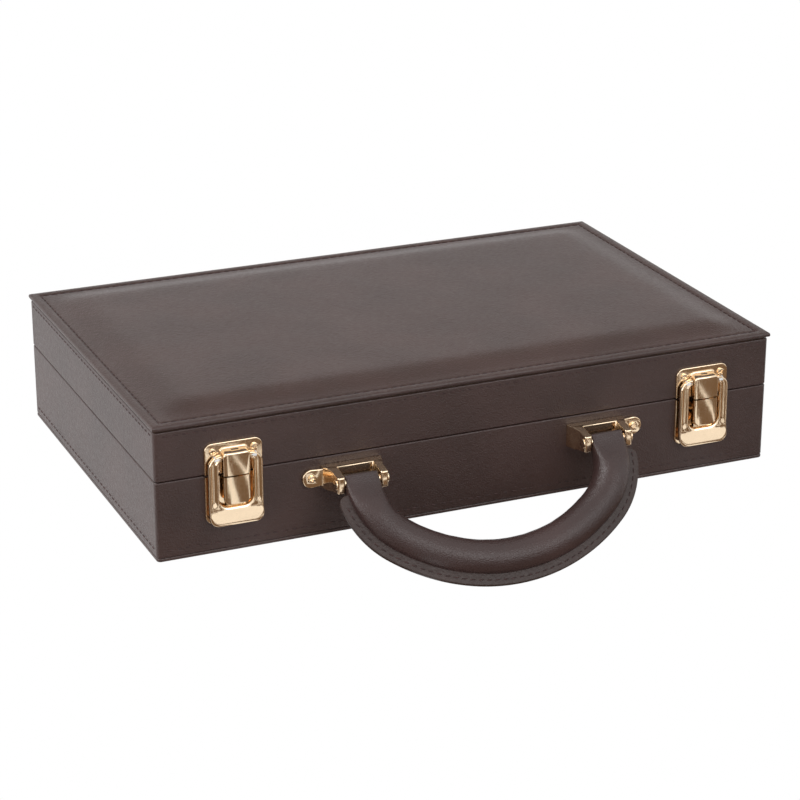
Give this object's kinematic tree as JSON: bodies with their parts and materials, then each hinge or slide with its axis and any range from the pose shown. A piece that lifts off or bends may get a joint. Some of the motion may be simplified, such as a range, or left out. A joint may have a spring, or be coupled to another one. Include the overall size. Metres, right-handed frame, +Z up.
{
  "type": "poker set",
  "caption": "Leather-covered board case with a padded hinged lid, two gold lever latches and a drop handle, holding rolls of chips, card decks and dice in a tray",
  "frame": {"origin": "centre of the flat bottom face of the case", "axes": "+X along the case, +Y from the front with its handle to the hinged back, +Z up"},
  "size_m": [0.3814, 0.307, 0.1046],
  "materials": {
    "dark_leather": "fine-grained satin leather, dark brown",
    "board": "raw fibreboard",
    "suede": "brushed microsuede",
    "gold": "polished, pale rose gold plated",
    "card_stock": "coated card box",
    "white_plastic": "moulded, satin",
    "red_plastic": "moulded, satin",
    "green_plastic": "moulded, satin",
    "blue_plastic": "moulded, satin",
    "black_plastic": "moulded, satin"
  },
  "bodies": {
    "case": {"case_shell": "board", "case_leather": "dark_leather", "case_lining": "suede", "base_panel": "dark_leather", "chip_tray": "suede", "card_deck_left": "card_stock", "card_deck_right": "card_stock", "dealer_button": "white_plastic", "dice": "white_plastic", "chips_white": "white_plastic", "chips_red": "red_plastic", "chips_green": "green_plastic", "chips_blue": "blue_plastic", "chips_black": "black_plastic", "hinge_leaves_lower": "gold", "hinge_pins": "gold", "hinge_screws_lower": "gold", "latch_base_plate_left": "gold", "latch_base_plate_right": "gold", "latch_base_screws": "gold", "handle_bracket_left": "gold", "handle_bracket_right": "gold", "handle_bracket_screws": "gold", "handle_pins": "gold"},
    "lid": {"lid_shell": "board", "lid_leather": "dark_leather", "lid_lining": "suede", "panel_spacer": "board", "top_panel": "dark_leather", "hinge_leaves_upper": "gold", "hinge_screws_upper": "gold", "latch_keeper_left": "gold", "latch_keeper_right": "gold", "latch_keeper_screws": "gold", "latch_pin_left": "gold", "latch_pin_right": "gold"},
    "latch_left": {"latch_lever_left": "gold", "latch_tongue_left": "gold"},
    "latch_right": {"latch_lever_right": "gold", "latch_tongue_right": "gold"},
    "handle": {"handle_grip": "dark_leather", "handle_welt": "dark_leather", "handle_bushes": "gold"}
  },
  "joints": [
    {"name": "lid_hinge", "type": "hinge", "parent": "case", "child": "lid", "pos_m": [0, 0.1227, 0.047], "axis": [-1, 0, 0], "range_deg": [0, 100]},
    {"name": "latch_left_flip", "type": "hinge", "parent": "lid", "child": "latch_left", "pos_m": [-0.1453, -0.1239, 0.0572], "axis": [-1, 0, 0], "range_deg": [0, 110]},
    {"name": "latch_right_flip", "type": "hinge", "parent": "lid", "child": "latch_right", "pos_m": [0.1453, -0.1239, 0.0572], "axis": [-1, 0, 0], "range_deg": [0, 110]},
    {"name": "handle_swing", "type": "hinge", "parent": "case", "child": "handle", "pos_m": [0, -0.135, 0.0355], "axis": [-1, 0, 0], "range_deg": [0, 141]}
  ]
}
